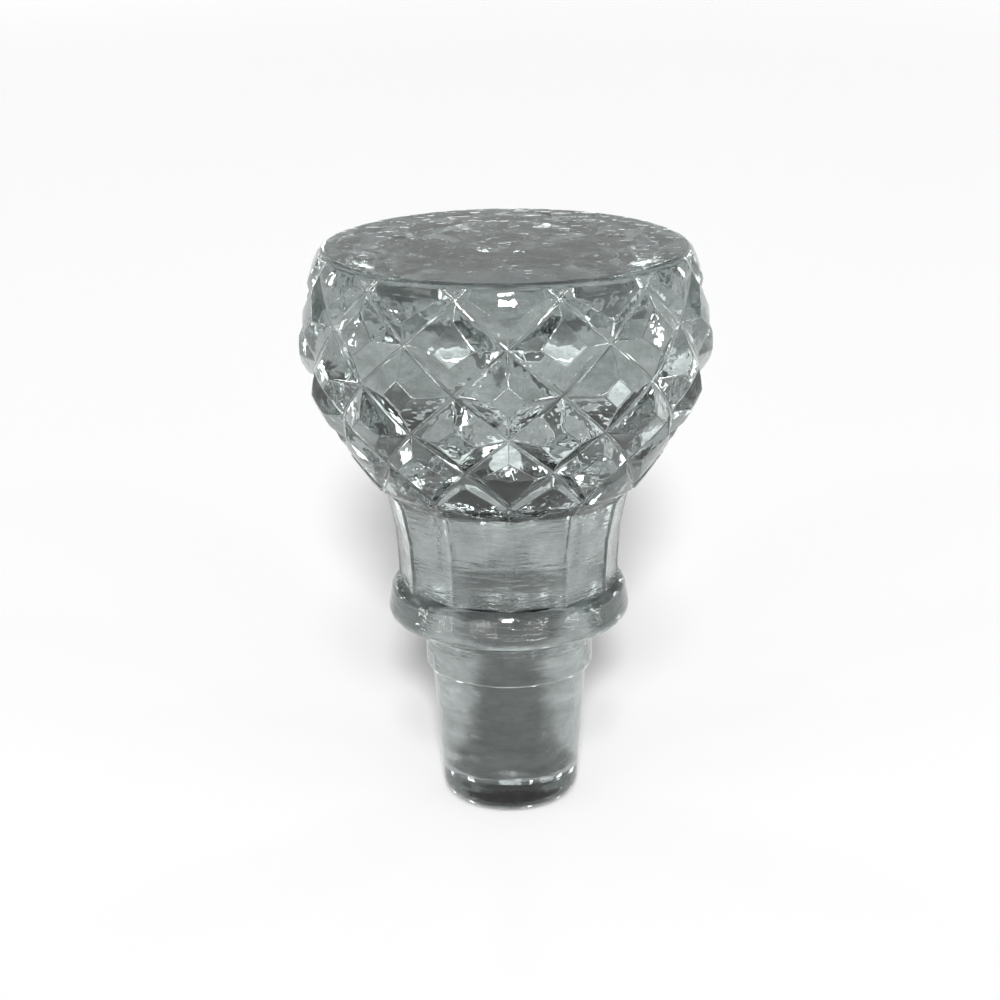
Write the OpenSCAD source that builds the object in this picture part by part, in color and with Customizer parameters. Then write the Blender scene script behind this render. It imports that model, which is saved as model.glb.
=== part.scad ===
// Decanter stopper of clear pressed glass, one solid piece: a diamond-cut head on a panelled
// neck, a collar that sits on the decanter's lip, and a tapered plug that fits its mouth.
// Millimetres, +Z up. The origin is the centre of the foot, the flat end of the plug.

/* [Overall] */
// Height from the foot to the flat top
overall_h = 76; // [75:0.5:78]

/* [Head] */
// Radius of the flat top
top_flat_r = 22.7; // [22:0.1:23]
// Radius of the rounded shoulder
shoulder_r = 1.5; // [1:0.1:1.8]
// Lean of the side where the shoulder ends
shoulder_lean = 30; // [25:1:35]
// Radius of the soft curve from the shoulder into the side
side_curve_r = 8.4; // [6:0.2:10]
// Lean of the upper side, which widens downwards
upper_lean = 14.5; // [13:0.5:16]
// Length of the upper side, from the soft curve to the belly
upper_len = 5; // [4.5:0.1:5.5]
// Radius of the belly's curve
belly_r = 17.5; // [16.5:0.5:19]
// Lean of the lower side, which narrows downwards
lower_lean = 33; // [31:0.5:34]
// Height of the head's underside
head_z = 45.6; // [45.5:0.1:46]

/* [Diamonds] */
// Diamonds in one row around the head
diamonds_around = 12; // [8:1:16]
// Drop from the flat top to the first row of groove crossings
first_row_drop = 1.9; // [1.6:0.1:2.4]
// Radius of the groove floors at the first row
first_row_r = 23.95; // [23.5:0.05:24.5]
// Distance between rows, measured down the grooves' own wall
row_pitch = 5.86; // [5.7:0.02:5.9]
// Lean of the grooves' wall at the first row
floor_lean = 8.4; // [6:0.2:10]
// Length of that straight wall
floor_len = 6.4; // [5.5:0.1:7]
// Radius of the grooves' wall around the belly
floor_curve_r = 21.5; // [19:0.5:24]
// Lean of the grooves' wall at the last rows
floor_lower_lean = 27.7; // [26:0.1:29]
// Height of a diamond if its sides ran on to a point
point_height = 2.3; // [2.1:0.1:3]
// Rounded floor of a groove, as a share of the way from the groove to the diamond's middle
groove_floor = 0.08; // [0.04:0.01:0.12]

/* [Neck] */
// Flat panels around the neck
neck_panels = 12; // [8:1:12]
// Radius at the neck's waist, over the corners between the panels
waist_r = 14.4; // [14:0.1:14.6]
// Height of the waist
waist_z = 33.4; // [33:0.1:34]
// Radius of the long curve that rises from the waist
neck_curve_r = 34; // [32:0.5:36]
// Lean of the neck where the long curve ends
neck_lean = 16.5; // [16:0.5:17]
// Radius of the small curve that spreads under the head
spread_r = 3.6; // [3.4:0.1:3.8]
// Lean of the neck where it meets the head
spread_lean = 42; // [40:1:44]

/* [Collar] */
// Largest radius of the collar
collar_r = 15.95; // [15.5:0.05:17]
// Height of the collar's underside, which rests on the decanter
collar_z = 25.9; // [25:0.1:27]
// Height of the collar's top
collar_top_z = 31.3; // [30.8:0.1:31.8]
// Radius of the collar's rounded lower edge
collar_edge_r = 1.75; // [1.2:0.05:2]
// Radius of the collar's rounded upper edge
collar_top_edge_r = 0.9; // [0.5:0.1:1.2]
// Lean of the collar's side, which narrows upwards
collar_lean = 10; // [0:1:15]

/* [Plug] */
// Radius of the short drum under the collar
drum_r = 11.1; // [11:0.1:12]
// Rounding of the drum's lower edge
drum_edge_r = 0.5; // [0.2:0.1:0.6]
// Radius at the top of the tapered plug
plug_r = 10.25; // [9.5:0.05:10.3]
// Height of the top of the tapered plug
plug_z = 19.2; // [18.5:0.1:20]
// Taper of the plug on each side
plug_taper = 4; // [2:0.1:5]
// Radius of the rounded edge of the foot
foot_round = 3.1; // [2:0.1:3.5]

/* [Hidden] */
$fn = 96;

glass_colour = [0.80, 0.88, 0.86];
// How far each part runs into the next, so that they join into one solid
overlap = 1;
// How far the neck's corners spread into the head above its underside
neck_sink = 0.2;

// Angle of half a diamond, which is one column of the pattern
column = 180 / diamonds_around;
// Middles of the first and last rows of diamonds, counted in rows of crossings. One is above
// the flat top and one is in the neck, and the blank trims both.
first_row = -1;
last_row = 6;
// Corners of one diamond, in columns and rows, clockwise from outside
corners = [[1, 0], [0, 1], [-1, 0], [0, -1], [1, 0]];
// Steps along one side of a diamond
side_steps = 2;
// Rings of points in a diamond, as shares of the way from its groove to its middle
rings = [0, groove_floor / 2, groove_floor];
ring_size = 4 * side_steps;
diamond_size = len(rings) * ring_size + 1;

// Outlines are points [radius, height]. Lean is the angle from the vertical, and is above 0
// where the outline widens downwards. An outline runs down a cone, or bends along an arc.
function down_cone(p, lean, len) = p + len * [sin(lean), -cos(lean)];
function bend_to(p, r, from, to) = p + r * [cos(to) - cos(from), sin(to) - sin(from)];
function bend(p, r, from, to, steps) =
    [for (i = [0:steps]) bend_to(p, r, from, from + (to - from) * i / steps)];

// The wall that the groove floors lie on, by the distance s down it from the first row:
// a cone, an arc around the belly, then a cone again
floor_start = [first_row_r, overall_h - first_row_drop];
floor_bend = down_cone(floor_start, floor_lean, floor_len);
floor_end = bend_to(floor_bend, floor_curve_r, floor_lean, -floor_lower_lean);
floor_bend_len = floor_curve_r * (floor_lean + floor_lower_lean) * PI / 180;
function wall_lean(s) =
    max(-floor_lower_lean, floor_lean - max(0, s - floor_len) / floor_curve_r * 180 / PI);
function wall(s) =
    s < floor_len ? down_cone(floor_start, floor_lean, s)
    : s < floor_len + floor_bend_len ? bend_to(floor_bend, floor_curve_r, floor_lean, wall_lean(s))
    : down_cone(floor_end, -floor_lower_lean, s - floor_len - floor_bend_len);

// Height of a diamond's side at some share of the way in from its groove: a rounded floor, then
// an even slope
side_slope = point_height / (1 - groove_floor / 2);
function side_height(way_in) = side_slope
    * (way_in < groove_floor ? pow(way_in, 2) / (2 * groove_floor) : way_in - groove_floor / 2);

// The point at some column and row, raised square to the wall. Its turn is kept from 0 to 360
// degrees, so that the last column meets the first exactly.
function carved(place, height) =
    let (s = place[1] * row_pitch, lean = wall_lean(s))
    let (p = wall(s) + height * [cos(lean), sin(lean)])
    let (turn = (place[0] * column + 360) % 360)
    [p[0] * cos(turn), p[0] * sin(turn), p[1]];

// The points of one diamond, ring by ring, and then the point that its sides run on to
function diamond_points(middle) = [
    for (way_in = rings, side = [0:3], step = [0:side_steps - 1])
        let (along = step / side_steps)
        let (edge = corners[side] * (1 - along) + corners[side + 1] * along)
        carved(middle + (1 - way_in) * edge, side_height(way_in)),
    carved(middle, point_height)
];

// Every diamond, row under row, and two points on the axis that close the solid
middles = [
    for (row = [first_row:last_row], k = [0:diamonds_around - 1]) [2 * k + abs(row % 2), row]
];
cut_points = [
    for (middle = middles) each diamond_points(middle),
    [0, 0, wall(first_row * row_pitch)[1]],
    [0, 0, wall(last_row * row_pitch)[1]]
];
cut_faces = [
    for (i = [0:len(middles) - 1], q = [0:ring_size - 1])
        let (a = i * diamond_size + q, b = i * diamond_size + (q + 1) % ring_size)
        let (last = (len(rings) - 1) * ring_size, row = middles[i][1])
        each [
            for (r = [0:len(rings) - 2]) each let (m = r * ring_size, n = m + ring_size)
                [[a + m, b + m, b + n], [a + m, b + n, a + n]],
            [a + last, b + last, (i + 1) * diamond_size - 1],
            if (row == first_row && q >= ring_size / 2) [b, a, len(cut_points) - 2],
            if (row == last_row && q < ring_size / 2) [b, a, len(cut_points) - 1]
        ]
];

// The head before the grooves are cut: flat top, rounded shoulder, belly and flat underside
module blank() {
    shoulder = bend([top_flat_r, overall_h], shoulder_r, 90, shoulder_lean, 6);
    side = bend(shoulder[6], side_curve_r, shoulder_lean, upper_lean, 3);
    belly = bend(down_cone(side[3], upper_lean, upper_len), belly_r, upper_lean, -lower_lean, 8);
    down_to_base = (belly[8][1] - head_z) / cos(lower_lean);
    rotate_extrude() polygon([
        [0, overall_h],
        each shoulder,
        each tail(side),
        each belly,
        down_cone(belly[8], -lower_lean, down_to_base),
        [0, head_z]
    ]);
}

// The grooves leave a flat on each diamond, where its sides meet the blank
module diamond_head() {
    intersection() {
        polyhedron(cut_points, cut_faces, convexity = 4);
        blank();
    }
}

// Every point but the first, for an outline that goes on from another one
function tail(points) = [for (i = [1:len(points) - 1]) points[i]];

// Points of an arc about c, from angle a to angle b
function arc(c, r, a, b, steps = 8) =
    [for (i = [0:steps]) let (t = a + (b - a) * i / steps) c + r * [cos(t), sin(t)]];

// Flat panels that rise from the collar and curve out under the head. Their corners stand
// below every second row of groove crossings.
module panelled_neck() {
    long_c = [waist_r + neck_curve_r, waist_z];
    long_end = long_c + neck_curve_r * [-cos(neck_lean), sin(neck_lean)];
    small_c = long_end + spread_r * [cos(neck_lean), -sin(neck_lean)];
    small_end = small_c + spread_r * [-cos(spread_lean), sin(spread_lean)];
    up_to_head = (head_z + neck_sink - small_end[1]) / cos(spread_lean);
    rotate_extrude($fn = neck_panels) polygon([
        [0, collar_top_z - overlap],
        [waist_r, collar_top_z - overlap],
        each arc(long_c, neck_curve_r, 180, 180 - neck_lean),
        each tail(arc(small_c, spread_r, 180 - neck_lean, 180 - spread_lean, 4)),
        down_cone(small_end, -spread_lean, -up_to_head),
        [waist_r, head_z + overlap],
        [0, head_z + overlap]
    ]);
}

// Ring with a big rounded lower edge and a small upper one
module collar() {
    lower_c = [collar_r - collar_edge_r, collar_z + collar_edge_r];
    rise = collar_top_z - collar_top_edge_r - lower_c[1];
    step_out = collar_edge_r - collar_top_edge_r - rise * sin(collar_lean);
    upper_c = lower_c + [step_out / cos(collar_lean), rise];
    rotate_extrude() polygon([
        [0, collar_z],
        each arc(lower_c, collar_edge_r, -90, collar_lean),
        each arc(upper_c, collar_top_edge_r, collar_lean, 90, 5),
        [0, collar_top_z]
    ]);
}

// Short drum, a small ledge, and the taper down to the rounded foot
module plug() {
    wall_r = plug_r - (plug_z - foot_round) * tan(plug_taper);
    foot_c = [wall_r - foot_round / cos(plug_taper), foot_round];
    ledge_c = [drum_r - drum_edge_r, plug_z + drum_edge_r];
    rotate_extrude() polygon([
        [0, 0],
        each arc(foot_c, foot_round, -90, -plug_taper),
        [plug_r, plug_z],
        each arc(ledge_c, drum_edge_r, -90, 0, 4),
        [drum_r, collar_z + overlap],
        [0, collar_z + overlap]
    ]);
}

module stopper() {
    color(glass_colour) {
        diamond_head();
        panelled_neck();
        collar();
        plug();
    }
}

stopper();
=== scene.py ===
"""The looks of a glass decanter stopper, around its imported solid.

The solid's form is built again as one fine mesh with its edges rounded, as a flame leaves them,
and stands for it. Outlines are worked out in millimetres, and every object is in metres. The tint
of the glass, the lamps and the lack of caustics are set for the likeness to one photo.
"""

import bmesh
import bpy
import numpy as np
from mathutils import Matrix, Vector


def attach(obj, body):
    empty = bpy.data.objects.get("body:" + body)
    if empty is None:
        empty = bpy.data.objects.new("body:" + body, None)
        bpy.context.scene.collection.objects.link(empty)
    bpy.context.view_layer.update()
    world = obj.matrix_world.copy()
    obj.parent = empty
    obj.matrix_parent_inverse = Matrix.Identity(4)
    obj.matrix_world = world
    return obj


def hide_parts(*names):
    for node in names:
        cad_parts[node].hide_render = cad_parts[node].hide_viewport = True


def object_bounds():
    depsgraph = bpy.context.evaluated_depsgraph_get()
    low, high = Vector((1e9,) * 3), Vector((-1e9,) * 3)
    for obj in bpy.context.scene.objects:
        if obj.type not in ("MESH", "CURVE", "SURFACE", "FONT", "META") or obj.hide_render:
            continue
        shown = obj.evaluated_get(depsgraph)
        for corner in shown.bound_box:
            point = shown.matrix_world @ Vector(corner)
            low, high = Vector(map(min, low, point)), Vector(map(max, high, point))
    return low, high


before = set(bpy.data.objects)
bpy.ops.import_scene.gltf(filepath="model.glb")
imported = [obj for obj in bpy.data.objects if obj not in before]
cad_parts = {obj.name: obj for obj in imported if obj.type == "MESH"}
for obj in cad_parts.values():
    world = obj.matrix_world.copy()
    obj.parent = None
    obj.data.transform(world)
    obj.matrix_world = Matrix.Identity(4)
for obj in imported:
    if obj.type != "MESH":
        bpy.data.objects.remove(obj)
cad_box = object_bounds()

MM = 0.001
TOP_Z = cad_box[1].z / MM

# Head: the blank, and the wall that the groove floors lie on
TOP_FLAT_R = 22.7
SHOULDER_R = 1.5
SHOULDER_LEAN = 30
SIDE_CURVE_R = 8.4
UPPER_LEAN = 14.5
UPPER_LEN = 5
BELLY_R = 17.5
LOWER_LEAN = 33
LOWER_LEN = 15
HEAD_Z = 45.6
FIRST_ROW = (23.95, TOP_Z - 1.9)
FLOOR_LEAN = 8.4
FLOOR_LEN = 6.4
FLOOR_CURVE_R = 21.5
FLOOR_LOWER_LEAN = 27.7

# Diamonds. A place in the pattern is a column and a row. A diamond's middle is where their sum is
# even, and two grooves cross where it is odd.
DIAMONDS_AROUND = 12
COLUMN = 180 / DIAMONDS_AROUND
ROW_PITCH = 5.86
POINT_HEIGHT = 2.3
GROOVE_FLOOR = 0.08
SLOPE = POINT_HEIGHT / (1 - GROOVE_FLOOR / 2)
# Rounding of the ridges, as a share of the way from a groove to a diamond's middle, and of the
# edges of the flats, as a height
RIDGE_ROUND = 0.04
EDGE_ROUND = 0.07
# The pattern's mesh starts where the blank is this far under the wall, which is looked for among
# the blank's first points. From there to a row near the first crossings it is cut finer.
PATTERN_START = -1.5 * EDGE_ROUND
UPPER_POINTS = 200
FINE_CUTS = 9
FINE_CUTS_END = 0.25
# How the way to a flat is found by trial, and a rough value for placing the mesh's lines
WAY_START = 0.6
WAY_TRIALS = 30
LEAST_FLAT_HEIGHT = 0.3
ROUGH_FLAT_WAY = 0.55
# Verts nearer than this are merged, in the flat pattern and in the carved one
PLACE_MERGE = 1e-5
POINT_MERGE = 1e-3
# Over this height, an open edge of the pattern is its top one
TOP_RIM_Z = HEAD_Z + 5

# Neck, collar and plug. The ridge on the corners of the panels is a guess at why they show as
# lines. It, the corners' rounding, COLLAR_TOP_EDGE_R and DRUM_EDGE_R aren't the solid's.
WAIST = (14.4, 33.4)
NECK_CURVE_R = 34
NECK_LEAN = 16.5
SPREAD_R = 3.6
SPREAD_LEAN = 42
PANEL_CORNER_R = 0.4
PANEL_RIDGE = 0.12
PANEL_RIDGE_WIDTH = 0.35
PANEL_ANGLES = (0.8, 1.2, 1.7, 2.3, 3.2, 5, 7.5, 10, 12.5, COLUMN)
COLLAR_R = 15.95
COLLAR_Z = 25.9
COLLAR_TOP_Z = 31.3
COLLAR_EDGE_R = 1.75
COLLAR_TOP_EDGE_R = 1.4
COLLAR_LEAN = 10
DRUM_R = 11.1
DRUM_EDGE_R = 0.6
PLUG_R = 10.25
PLUG_Z = 19.2
PLUG_TAPER = 4
FOOT_ROUND = 3.1
# Roundings that the solid leaves sharp
HEAD_EDGE_R = 0.25
JUNCTION_R = 0.15
FILLET_R = 0.3
# Most degrees of an arc between two rings, the least gap from the pattern to the shoulder's
# rings, and the rings on the flat top and foot
ARC_STEP = 9
CROWN_GAP = 0.03
TOP_RINGS_R = (TOP_FLAT_R - 0.3, 19, 13, 6)
FOOT_RING_R = 3.5

# Glass: the skin's waves, in metres and per metre, all over it, and its streaks, below the head,
# which start over some millimetres and are weaker on the plug
GLASS_IOR = 1.52
DEPTH_COLOR = (0.0, 0.15, 0.12, 1)
DEPTH_DENSITY = 4
WAVE_HEIGHT = 0.00010
WAVE_SCALE = 420
WAVE_DETAIL = 2.0
STREAK_HEIGHT = 0.00014
STREAK_SCALE = 1900
STREAK_STRETCH = (0.16, 0.16, 1)
STREAK_DETAIL = 3.0
STREAK_START = 3
PLUG_STREAKS = 0.25
# Cloudiness: a noise sets the haze and the tint. The tint is the glass's faint grey-green made much
# darker than clear glass has, as painted shade for dark surroundings seen through it
CLOUD_SCALE = 260
CLOUD_STRETCH = (1, 1, 2)
CLOUD_DETAIL = 6.0
CLOUD_GRAIN = 0.7
CLOUD_SPAN = (0.35, 0.65)
HAZE = (0.03, 0.0)
DARK_TINT_AND_SHADE = (0.235, 0.262, 0.256)
PALE_TINT_AND_SHADE = (0.47, 0.512, 0.505)

# Camera: its place and tilts were fitted to the photo, in metres and degrees
CAMERA_LENS = 86.1
CAMERA_CLIP = (0.01, 20)
CAMERA_SHIFT = (-0.0076, -0.0123)
CAMERA_TARGET_Z = 0.0433
CAMERA_DISTANCE = 0.3146
CAMERA_TURN = -0.44
CAMERA_DOWN = 17.8
CAMERA_ROLL = -0.64

# The studio. Room tones go with their elevation. A key has an elevation and a sun's strength.
# Other lamps have an azimuth, an elevation, a distance (the back ones share it), a width and
# height, and how bright they look, where the sunlit floor is about 1.
FLOOR_SIZE = 20
FLOOR_TONE = 0.92
ROOM_TONES = ((0, 0.95), (2.5, 0.95), (5, 0.28), (8, 0.28), (11, 0.42), (17, 0.42),
              (21, 0.08), (90, 0.05))
LAMP_AIM_Z = 0.045
KEY_WIDTH = 8
KEYS = (("key_front", 28, 4.0), ("key_high", 45, 0.7))
SIDE_LAMPS = (
    ("softbox", 60, 40, 1.0, (0.2, 0.2), 1.6),
    ("glint_front", 37, 30, 0.8, (0.03, 0.015), 190),
    ("glint_back", 150, 50, 0.8, (0.03, 0.03), 40),
    ("strip_front", 25, 7, 1.2, (0.5, 0.035), 52),
    ("strip_near_side", 62, 7, 1.2, (0.36, 0.035), 42),
    ("strip_side", 90, 4, 1.2, (0.1, 0.12), 26))
BACK_DISTANCE = 1.5
BACK_STRIPS = (
    ("strip_back_a", 128, 9, (0.1, 0.3), 14),
    ("strip_back_b", 152, 8, (0.12, 0.24), 9),
    ("strip_back_c", 179, 6, (0.36, 0.2), 1.7),
    ("strip_back_d", 191, 8, (0.05, 0.22), 9),
    ("strip_back_e", 204, 6, (0.3, 0.2), 1.6),
    ("strip_back_f", 216, 8, (0.09, 0.24), 9),
    ("strip_back_g", 236, 9, (0.1, 0.3), 14))
MAX_BOUNCES = 24
GLOSSY_BOUNCES = 16
TRANSMISSION_BOUNCES = 24


def down(lean):
    """The way an outline runs. Lean is its angle from the vertical, above 0 where it widens."""
    return np.stack([np.sin(np.radians(lean)), -np.cos(np.radians(lean))], -1)


def out(lean):
    """The way an outline faces."""
    return np.stack([np.cos(np.radians(lean)), np.sin(np.radians(lean))], -1)


class Outline:
    """Points [radius, height] down the side of a lathe shape."""

    def __init__(self, point, lean):
        self.points = [np.array(point, float)]
        self.lean = lean

    def straight(self, length, steps=1):
        start = self.points[-1]
        self.points += [start + length * i / steps * down(self.lean) for i in range(1, steps + 1)]

    def bend(self, radius, lean, steps=8):
        """Turns to a new lean. The radius is below 0 where the outline is hollow."""
        centre = self.points[-1] - radius * out(self.lean)
        self.points += [centre + radius * out(a)
                        for a in np.linspace(self.lean, lean, steps + 1)[1:]]
        self.lean = lean


# The groove wall: a cone, an arc around the belly, then a cone again
FLOOR_BEND = np.array(FIRST_ROW) + FLOOR_LEN * down(FLOOR_LEAN)
FLOOR_BEND_LEN = FLOOR_CURVE_R * np.radians(FLOOR_LEAN + FLOOR_LOWER_LEAN)
FLOOR_CENTRE = FLOOR_BEND - FLOOR_CURVE_R * out(FLOOR_LEAN)
FLOOR_END = FLOOR_CENTRE + FLOOR_CURVE_R * out(-FLOOR_LOWER_LEAN)


def wall_lean(s):
    """The wall's lean at a distance s down it."""
    turned = np.degrees((s - FLOOR_LEN) / FLOOR_CURVE_R)
    return np.clip(FLOOR_LEAN - turned, -FLOOR_LOWER_LEAN, FLOOR_LEAN)


def wall(s):
    """The wall's point at a distance s down it from the first row of crossings."""
    s = np.asarray(s, float)
    upper = np.minimum(s - FLOOR_LEN, 0)[..., None] * down(FLOOR_LEAN)
    lower = np.maximum(s - FLOOR_LEN - FLOOR_BEND_LEN, 0)[..., None] * down(-FLOOR_LOWER_LEAN)
    return FLOOR_CENTRE + FLOOR_CURVE_R * out(wall_lean(s)) + upper + lower


def over_wall(points):
    """How far down the wall some points are, and how high over it."""
    from_centre = points - FLOOR_CENTRE
    angle = np.degrees(np.arctan2(from_centre[:, 1], from_centre[:, 0]))
    s = FLOOR_LEN + FLOOR_CURVE_R * np.radians(FLOOR_LEAN - angle)
    height = np.hypot(*from_centre.T) - FLOOR_CURVE_R
    for start, past, lean in ((FLOOR_BEND, angle > FLOOR_LEAN, FLOOR_LEAN),
                              (FLOOR_END, angle < -FLOOR_LOWER_LEAN, -FLOOR_LOWER_LEAN)):
        first = FLOOR_LEN if lean > 0 else FLOOR_LEN + FLOOR_BEND_LEN
        s = np.where(past, first + (points - start) @ down(lean), s)
        height = np.where(past, (points - start) @ out(lean), height)
    return s, height


def blank_outline():
    """The side of the head before it is cut, in fine steps."""
    blank = Outline((TOP_FLAT_R, TOP_Z), 90)
    blank.bend(SHOULDER_R, SHOULDER_LEAN, 60)
    blank.bend(SIDE_CURVE_R, UPPER_LEAN, 40)
    blank.straight(UPPER_LEN, 20)
    blank.bend(BELLY_R, -LOWER_LEAN, 100)
    blank.straight(LOWER_LEN, 50)
    return np.array(blank.points)


BLANK = over_wall(blank_outline())


def blank_height(row):
    """How high the blank stands over the wall at a row."""
    return np.interp(row * ROW_PITCH, *BLANK)


def soft_min(a, b, reach):
    """The lower of two heights, with the change from one to the other rounded."""
    near = np.maximum(reach - np.abs(a - b), 0)
    return np.minimum(a, b) - near**2 / (4 * reach)


def ways_in(column, row):
    """How far a place is from the grooves of each direction, as shares of the way to the middle."""
    for across in (column + row, column - row):
        yield 1 - np.abs(across - 2 * np.round(across / 2))


def carved(column, row):
    """Points of the carved head: even slopes up from rounded groove floors, as far as the blank."""
    first, second = ways_in(column, row)
    way = soft_min(first, second, np.clip(first + second, 1e-6, RIDGE_ROUND))
    slope = np.where(way < GROOVE_FLOOR, way**2 / (2 * GROOVE_FLOOR), way - GROOVE_FLOOR / 2)
    height = soft_min(SLOPE * slope, blank_height(row), EDGE_ROUND)
    s = row * ROW_PITCH
    radius, z = (wall(s) + height[..., None] * out(wall_lean(s))).T
    return around(radius, z, column * COLUMN)


def around(radius, z, angle):
    """Points at some radius, height and angle round the axis."""
    angle = np.radians(angle)
    radius, z, angle = np.broadcast_arrays(radius, z, angle)
    return np.stack([radius * np.cos(angle), radius * np.sin(angle), z], -1)


def way_to_flat(row, edge_row):
    """Where the slopes reach the flat, from a groove towards the middle of a diamond."""
    way = np.full_like(edge_row, WAY_START)
    for _ in range(WAY_TRIALS):
        height = np.maximum(blank_height(row + (1 - way) * edge_row), LEAST_FLAT_HEIGHT)
        way = GROOVE_FLOOR / 2 + height / SLOPE
    return way


def diamond_places(row):
    """Rings of places in one diamond, from its groove to its flat, by column and row."""
    corners = np.array([[1, 0], [0, 1], [-1, 0], [0, -1], [1, 0]], float)
    round_steps = np.array([0, 0.33, 0.67, 1])
    even_steps = np.array([0.15, 0.45, 1])
    edge = EDGE_ROUND / SLOPE
    stages = [("floor", x) for x in (0, 0.25, 0.5, 0.75, 1)] \
        + [("slope", x) for x in (0.33, 0.67)] \
        + [("edge", x) for x in (-1, -0.5, 0, 0.5, 1)] \
        + [("flat", x) for x in (0.25, 0.6)]
    rings = []
    for stage, share in stages:
        guess = 0.0 if stage in ("floor", "slope") else ROUGH_FLAT_WAY
        reach = RIDGE_ROUND / 2 / (1 - guess)
        half = np.concatenate([reach * round_steps, reach + (0.5 - reach) * even_steps])
        steps = np.concatenate([half, 1 - half[-2:0:-1]])
        along = np.concatenate([corners[i] + (corners[i + 1] - corners[i]) * steps[:, None]
                                for i in range(4)])
        flat = way_to_flat(row, along[:, 1])
        way = {"floor": GROOVE_FLOOR * share + 0 * flat,
               "slope": GROOVE_FLOOR + (flat - edge - GROOVE_FLOOR) * share,
               "edge": flat + edge * share,
               "flat": flat + edge + (1 - flat - edge) * share}[stage]
        rings.append((1 - way)[:, None] * along)
    return np.array(rings)


def pattern_sheet(first_row, last_row):
    """The pattern as a flat mesh of columns and rows, cut off at two rows."""
    sheet = bmesh.new()
    for row in range(int(np.floor(first_row)), int(np.ceil(last_row)) + 1):
        rings = diamond_places(row)
        size = rings.shape[1]
        for k in range(DIAMONDS_AROUND):
            middle = np.array([2 * k + abs(row % 2), row])
            verts = [[sheet.verts.new((*(middle + p), 0)) for p in ring] for ring in rings]
            for near, far in zip(verts, verts[1:]):
                for q in range(size):
                    sheet.faces.new((near[q - 1], near[q], far[q], far[q - 1]))
            tip = sheet.verts.new((*middle, 0))
            for q in range(size):
                sheet.faces.new((verts[-1][q - 1], verts[-1][q], tip))
    for row in (first_row, last_row):
        cut(sheet, row, 1 if row == last_row else -1)
    for row in np.linspace(first_row, FINE_CUTS_END, FINE_CUTS)[1:]:
        cut(sheet, row, 0)
    return sheet


def cut(sheet, row, side):
    """Cuts the flat pattern along a row, and clears what is past it on one side."""
    bmesh.ops.bisect_plane(sheet, geom=sheet.verts[:] + sheet.edges[:] + sheet.faces[:], dist=1e-6,
                           plane_co=(0, row, 0), plane_no=(0, side or 1, 0), clear_outer=side != 0)


def panel_radius(corner_r, angle):
    """Radius of the panelled neck: flat panels, and a fine ridge along each corner."""
    half = np.radians(COLUMN)
    off = np.abs(np.radians((angle + COLUMN) % (2 * COLUMN) - COLUMN))
    centre = corner_r - PANEL_CORNER_R / np.cos(half)
    flat = corner_r * np.cos(half) / np.cos(half - off)
    corner = centre * np.cos(off) + np.sqrt(np.maximum(
        PANEL_CORNER_R**2 - (centre * np.sin(off))**2, 0))
    ridge = PANEL_RIDGE * np.exp(-(off * corner_r / PANEL_RIDGE_WIDTH)**2)
    return np.where(off < corner_span(corner_r), corner, flat) + ridge


def corner_span(corner_r):
    """Half the angle that the rounding of a panel's corner takes."""
    half = np.radians(COLUMN)
    centre = corner_r - PANEL_CORNER_R / np.cos(half)
    return np.arctan2(PANEL_CORNER_R * np.sin(half), centre + PANEL_CORNER_R * np.cos(half))


def ring_angles():
    """Angles round the axis, closest together at the neck's corners."""
    span = np.degrees(corner_span(WAIST[0]))
    half = np.concatenate([span * np.array([0, 0.5, 1]), PANEL_ANGLES])
    panel = np.concatenate([half, 2 * COLUMN - half[-2:0:-1]])
    return np.concatenate([panel + 2 * COLUMN * k for k in range(DIAMONDS_AROUND)])


ANGLES = ring_angles()


def rounded(corners):
    """Points [radius, height] of an outline. Its corners are [radius, height, rounding]."""
    points = [corners[0][:2]]
    for before, corner, after in zip(corners, corners[1:], corners[2:]):
        lean_in, lean_out = lean_of(before, corner), lean_of(corner, after)
        turn = lean_in - lean_out
        radius = corner[2] * np.sign(turn)
        start = np.array(corner[:2]) - radius * np.tan(np.radians(turn) / 2) * down(lean_in)
        steps = int(np.ceil(abs(turn) / ARC_STEP))
        arc = [start + radius * (out(a) - out(lean_in))
               for a in np.linspace(lean_in, lean_out, steps + 1)]
        points += arc[1:] if np.allclose(arc[0], points[-1]) else arc
    return points + [corners[-1][:2]]


def lean_of(start, end):
    """The lean of a straight line between two points."""
    return np.degrees(np.arctan2(end[0] - start[0], start[1] - end[1]))


def fall(height, lean):
    """The way along a lean until it is lower by a height."""
    return height / np.cos(np.radians(lean)) * down(lean)


def crown_rings(z):
    """Rings from the top of the pattern over the shoulder to the flat top."""
    crown = Outline((TOP_FLAT_R, TOP_Z), 90)
    crown.bend(SHOULDER_R, SHOULDER_LEAN, 16)
    rings = [p for p in crown.points if p[1] > z + CROWN_GAP][::-1]
    rings += [(r, TOP_Z) for r in TOP_RINGS_R]
    return [around(r, z, ANGLES) for r, z in rings]


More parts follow.
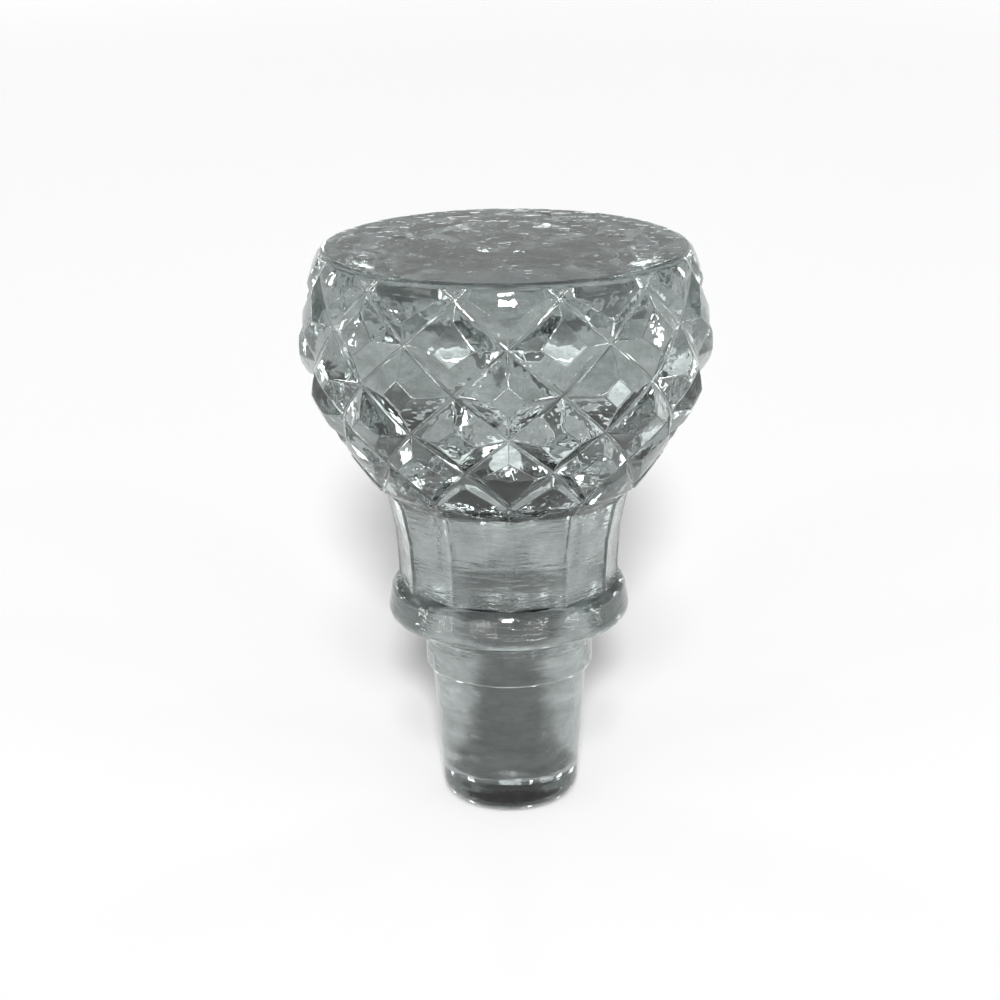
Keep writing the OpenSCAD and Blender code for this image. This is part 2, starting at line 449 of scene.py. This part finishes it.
def body_rings(last_row):
    """Rings from the end of the pattern down the neck, collar and plug to the foot."""
    end = wall(last_row * ROW_PITCH)
    head_edge = end + fall(end[1] - HEAD_Z, -FLOOR_LOWER_LEAN)
    waist_r, waist_z = WAIST
    long_tangent = NECK_CURVE_R * np.tan(np.radians(NECK_LEAN / 2))
    small_tangent = SPREAD_R * np.tan(np.radians((SPREAD_LEAN - NECK_LEAN) / 2))
    long_corner = np.array([waist_r, waist_z + long_tangent])
    small_corner = long_corner - (long_tangent + small_tangent) * down(-NECK_LEAN)
    neck_top = small_corner - fall(HEAD_Z - small_corner[1], -SPREAD_LEAN)
    side = np.tan(np.radians(COLLAR_LEAN))
    side_r = COLLAR_R - COLLAR_EDGE_R + COLLAR_EDGE_R / np.cos(np.radians(COLLAR_LEAN))
    taper = np.tan(np.radians(PLUG_TAPER))
    head = rounded([end, (*head_edge, HEAD_EDGE_R), (*neck_top, 0)])
    neck = rounded([head_edge, (*neck_top, JUNCTION_R), (*small_corner, SPREAD_R),
                    (*long_corner, NECK_CURVE_R), (waist_r, COLLAR_TOP_Z, JUNCTION_R),
                    (COLLAR_R, COLLAR_TOP_Z)])
    collar_top_r = side_r - (COLLAR_TOP_Z - COLLAR_Z - COLLAR_EDGE_R) * side
    rest = rounded([
        (waist_r, COLLAR_TOP_Z),
        (collar_top_r, COLLAR_TOP_Z, COLLAR_TOP_EDGE_R),
        (side_r + COLLAR_EDGE_R * side, COLLAR_Z, COLLAR_EDGE_R),
        (DRUM_R, COLLAR_Z, FILLET_R),
        (DRUM_R, PLUG_Z, DRUM_EDGE_R),
        (PLUG_R, PLUG_Z, JUNCTION_R),
        (PLUG_R - PLUG_Z * taper, 0, FOOT_ROUND),
        (0, 0)])
    carving = blank_reach(last_row)
    fades = np.linspace(1, 0, len(head) - 2)[1:]
    return [around(r + carving * fade, z, ANGLES) for (r, z), fade in zip(head[2:-1], fades)] \
        + [around(panel_radius(r, ANGLES), z, ANGLES) for r, z in neck[1:-1]] \
        + [around(r, z, ANGLES) for r, z in rest[1:-1]] \
        + [around(FOOT_RING_R, 0, ANGLES)]


def blank_reach(row):
    """How far the carving stands over the wall along a row, at the angles of the rings."""
    radius = np.hypot(*carved(ANGLES / COLUMN, np.full_like(ANGLES, row))[:, :2].T)
    return radius - wall(row * ROW_PITCH)[0]


def stopper_mesh():
    """The whole stopper: the pattern, wrapped and carved, then rings up to the top and down."""
    levels, heights = (values[:UPPER_POINTS] for values in BLANK)
    first_row = np.interp(PATTERN_START, heights, levels) / ROW_PITCH
    edge_drop = HEAD_EDGE_R * (1 - np.sin(np.radians(FLOOR_LOWER_LEAN)))
    s_end = (FLOOR_END[1] - HEAD_Z - edge_drop) / np.cos(np.radians(FLOOR_LOWER_LEAN))
    last_row = (s_end + FLOOR_LEN + FLOOR_BEND_LEN) / ROW_PITCH
    bm = pattern_sheet(first_row, last_row)
    bmesh.ops.remove_doubles(bm, verts=bm.verts, dist=PLACE_MERGE)
    places = np.array([v.co for v in bm.verts])
    for vert, point in zip(bm.verts, carved(places[:, 0], places[:, 1])):
        vert.co = point
    bmesh.ops.remove_doubles(bm, verts=bm.verts, dist=POINT_MERGE)
    rim = [v for v in bm.verts if v.is_boundary]
    for rings, top in ((crown_rings(blank_z(first_row)), True), (body_rings(last_row), False)):
        loop = [v for v in rim if (v.co.z > TOP_RIM_Z) == top]
        loop.sort(key=angle_of)
        for ring in rings:
            verts = [bm.verts.new(p) for p in ring]
            join_loops(bm, loop, verts)
            loop = verts
        bm.faces.new(loop)
    bmesh.ops.recalc_face_normals(bm, faces=bm.faces)
    bmesh.ops.scale(bm, vec=(MM, MM, MM), verts=bm.verts)
    mesh = bpy.data.meshes.new("stopper_glass")
    bm.to_mesh(mesh)
    bm.free()
    return mesh


def blank_z(row):
    """The blank's height over the foot at a row."""
    s = row * ROW_PITCH
    return (wall(s) + blank_height(row) * out(wall_lean(s)))[1]


def angle_of(vert):
    """Angle round the axis in degrees, with the seam's own verts at 0."""
    angle = np.degrees(np.arctan2(vert.co.y, vert.co.x)) % 360
    return angle if angle < 360 - 1e-3 else 0.0


def join_loops(bm, near, far):
    """Faces between two loops round the axis, which may have different counts of verts."""
    near_at = [angle_of(v) for v in near] + [360 + angle_of(near[0])]
    far_at = [angle_of(v) for v in far] + [360 + angle_of(far[0])]
    i = j = 0
    same = len(near) == len(far)
    while i < len(near) or j < len(far):
        a, b = near[i % len(near)], far[j % len(far)]
        if same:
            bm.faces.new((a, near[(i + 1) % len(near)], far[(j + 1) % len(far)], b))
            i, j = i + 1, j + 1
        elif j == len(far) or (i < len(near) and near_at[i + 1] <= far_at[j + 1]):
            bm.faces.new((a, near[(i + 1) % len(near)], b))
            i += 1
        else:
            bm.faces.new((a, far[(j + 1) % len(far)], b))
            j += 1


def make_stopper():
    """The mesh as a piece that stands for the solid."""
    piece = bpy.data.objects.new("stopper_glass", stopper_mesh())
    bpy.context.collection.objects.link(piece)
    piece.data.shade_smooth()
    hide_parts("stopper")
    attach(piece, "root")
    return piece


def glass():
    """Glass with a strong grey-green tint, uneven and a little cloudy. Most of the tint's darkness
    is painted shade.

    Its skin is faintly wavy all over. Below the head fine level streaks run round it.
    """
    material = bpy.data.materials.new("clear_pressed_glass")
    material.use_nodes = True
    nodes, links = material.node_tree.nodes, material.node_tree.links
    shader = nodes["Principled BSDF"]
    shader.inputs["IOR"].default_value = GLASS_IOR
    shader.inputs["Transmission Weight"].default_value = 1
    absorb = nodes.new("ShaderNodeVolumeAbsorption")
    absorb.inputs["Color"].default_value = DEPTH_COLOR
    absorb.inputs["Density"].default_value = DEPTH_DENSITY
    links.new(absorb.outputs[0], nodes["Material Output"].inputs["Volume"])

    place = nodes.new("ShaderNodeTexCoord").outputs["Object"]
    apart = nodes.new("ShaderNodeSeparateXYZ")
    links.new(place, apart.inputs[0])
    height = apart.outputs["Z"]
    waves = noise(nodes, links, place, (1, 1, 1), WAVE_SCALE, WAVE_DETAIL)
    streaks = noise(nodes, links, place, STREAK_STRETCH, STREAK_SCALE, STREAK_DETAIL)
    streaks_top = ((HEAD_Z - STREAK_START) * MM, HEAD_Z * MM)
    below_head = ramp(nodes, links, height, streaks_top, (1, 0))
    on_plug = ramp(nodes, links, height, (PLUG_Z * MM, COLLAR_Z * MM), (PLUG_STREAKS, 1))
    streaks = times(nodes, links, times(nodes, links, streaks, below_head), on_plug)
    skin = bump(nodes, links, waves, WAVE_HEIGHT, None)
    skin = bump(nodes, links, streaks, STREAK_HEIGHT, skin)
    links.new(skin, shader.inputs["Normal"])

    cloud = noise(nodes, links, place, CLOUD_STRETCH, CLOUD_SCALE, CLOUD_DETAIL, CLOUD_GRAIN)
    # Both ends of this tint ramp hold painted shade: far darker than clear glass, in place of dark
    # surroundings seen through it
    tint = nodes.new("ShaderNodeValToRGB")
    links.new(cloud, tint.inputs[0])
    for stop, at, color in zip(tint.color_ramp.elements, CLOUD_SPAN, (DARK_TINT_AND_SHADE, PALE_TINT_AND_SHADE)):
        stop.position, stop.color = at, (*color, 1)
    links.new(tint.outputs["Color"], shader.inputs["Base Color"])
    links.new(ramp(nodes, links, cloud, CLOUD_SPAN, HAZE), shader.inputs["Roughness"])
    return material


def noise(nodes, links, place, stretch, scale, detail, grain=0.5):
    """A noise from 0 to 1, with a stretch for each axis."""
    stretched = nodes.new("ShaderNodeMapping")
    stretched.inputs["Scale"].default_value = stretch
    links.new(place, stretched.inputs["Vector"])
    texture = nodes.new("ShaderNodeTexNoise")
    texture.inputs["Scale"].default_value = scale
    texture.inputs["Detail"].default_value = detail
    texture.inputs["Roughness"].default_value = grain
    links.new(stretched.outputs[0], texture.inputs["Vector"])
    return texture.outputs["Fac"]


def ramp(nodes, links, value, span, ends):
    """Goes evenly from one end to the other as the value goes over the span."""
    node = nodes.new("ShaderNodeMapRange")
    links.new(value, node.inputs["Value"])
    for name, number in zip(("From Min", "From Max", "To Min", "To Max"), (*span, *ends)):
        node.inputs[name].default_value = number
    return node.outputs[0]


def times(nodes, links, a, b):
    """Two values multiplied."""
    node = nodes.new("ShaderNodeMath")
    node.operation = "MULTIPLY"
    links.new(a, node.inputs[0])
    links.new(b, node.inputs[1])
    return node.outputs[0]


def bump(nodes, links, height, distance, normal):
    """The surface raised by a height times a distance, over another bump where one is given."""
    node = nodes.new("ShaderNodeBump")
    node.inputs["Distance"].default_value = distance
    links.new(height, node.inputs["Height"])
    if normal:
        links.new(normal, node.inputs["Normal"])
    return node.outputs["Normal"]


def camera():
    """Looks along +Y, a little down, from the photo's distance for its perspective."""
    data = bpy.data.cameras.new("camera")
    data.lens = CAMERA_LENS
    data.clip_start, data.clip_end = CAMERA_CLIP
    data.shift_x, data.shift_y = CAMERA_SHIFT
    cam = bpy.data.objects.new("camera", data)
    turn = Matrix.Rotation(np.radians(CAMERA_TURN), 4, "Z") \
        @ Matrix.Rotation(np.radians(90 - CAMERA_DOWN), 4, "X")
    cam.matrix_world = Matrix.Translation((0, 0, CAMERA_TARGET_Z)) @ turn \
        @ Matrix.Translation((0, 0, CAMERA_DISTANCE)) \
        @ Matrix.Rotation(np.radians(CAMERA_ROLL), 4, "Z")
    bpy.context.collection.objects.link(cam)
    bpy.context.scene.camera = cam


def toward(azimuth, elevation):
    """A direction away from the object. Azimuth 0 is in front, and goes to the right."""
    a, e = np.radians(azimuth), np.radians(elevation)
    return Vector((np.sin(a) * np.cos(e), -np.cos(a) * np.cos(e), np.sin(e)))


def hang(lamp, azimuth, elevation, distance=0.0):
    """Places a lamp so that it faces the object, unseen by the camera."""
    back = toward(azimuth, elevation)
    obj = bpy.data.objects.new(lamp.name, lamp)
    obj.matrix_world = Matrix.Translation(back * distance + Vector((0, 0, LAMP_AIM_Z))) \
        @ back.to_track_quat("Z", "Y").to_matrix().to_4x4()
    obj.visible_camera = False
    bpy.context.collection.objects.link(obj)


def softbox(name, azimuth, elevation, distance, size, radiance):
    """A flat lamp that looks as bright as its radiance says."""
    lamp = bpy.data.lights.new(name, "AREA")
    lamp.shape = "RECTANGLE"
    lamp.size, lamp.size_y = size
    lamp.energy = radiance * np.pi * size[0] * size[1]
    hang(lamp, azimuth, elevation, distance)


def key(name, elevation, strength):
    """A broad far lamp over the camera. Its shadow falls behind the object."""
    lamp = bpy.data.lights.new(name, "SUN")
    lamp.angle = np.radians(KEY_WIDTH)
    lamp.energy = strength
    hang(lamp, 0, elevation)


def floor():
    """A plain pale floor without gloss."""
    bpy.ops.mesh.primitive_plane_add(size=FLOOR_SIZE)
    plane = bpy.context.object
    plane.name = "floor"
    material = bpy.data.materials.new("floor")
    material.use_nodes = True
    shader = material.node_tree.nodes["Principled BSDF"]
    shader.inputs["Base Color"].default_value = (FLOOR_TONE, FLOOR_TONE, FLOOR_TONE, 1)
    shader.inputs["Specular IOR Level"].default_value = 0.0
    plane.data.materials.append(material)


def surroundings():
    """A dim room round the floor: pale at the horizon, grey over it, and nearly black above."""
    world = bpy.data.worlds.new("room")
    bpy.context.scene.world = world
    world.use_nodes = True
    nodes, links = world.node_tree.nodes, world.node_tree.links
    apart = nodes.new("ShaderNodeSeparateXYZ")
    links.new(nodes.new("ShaderNodeTexCoord").outputs["Generated"], apart.inputs[0])
    tones = nodes.new("ShaderNodeValToRGB")
    links.new(apart.outputs["Z"], tones.inputs[0])
    while len(tones.color_ramp.elements) < len(ROOM_TONES):
        tones.color_ramp.elements.new(1.0)
    for stop, (elevation, tone) in zip(tones.color_ramp.elements, ROOM_TONES):
        stop.position, stop.color = np.sin(np.radians(elevation)), (tone, tone, tone, 1)
    links.new(tones.outputs["Color"], nodes["Background"].inputs["Color"])


def studio():
    """The floor, the room and all the lamps. Side lamps come in pairs, left and right."""
    floor()
    surroundings()
    for name, elevation, strength in KEYS:
        key(name, elevation, strength)
    for name, azimuth, elevation, distance, size, radiance in SIDE_LAMPS:
        for side, sign in (("left", -1), ("right", 1)):
            softbox(f"{name}_{side}", sign * azimuth, elevation, distance, size, radiance)
    for name, azimuth, elevation, size, radiance in BACK_STRIPS:
        softbox(name, azimuth, elevation, BACK_DISTANCE, size, radiance)


camera()
studio()
stopper = make_stopper()
stopper.data.materials.append(glass())
bpy.context.scene.view_settings.view_transform = "Standard"
cycles = bpy.context.scene.cycles
cycles.max_bounces = MAX_BOUNCES
cycles.glossy_bounces = GLOSSY_BOUNCES
cycles.transmission_bounces = TRANSMISSION_BOUNCES
# Without caustics the shadow is darker than real glass would cast
cycles.caustics_refractive = False
cycles.caustics_reflective = False
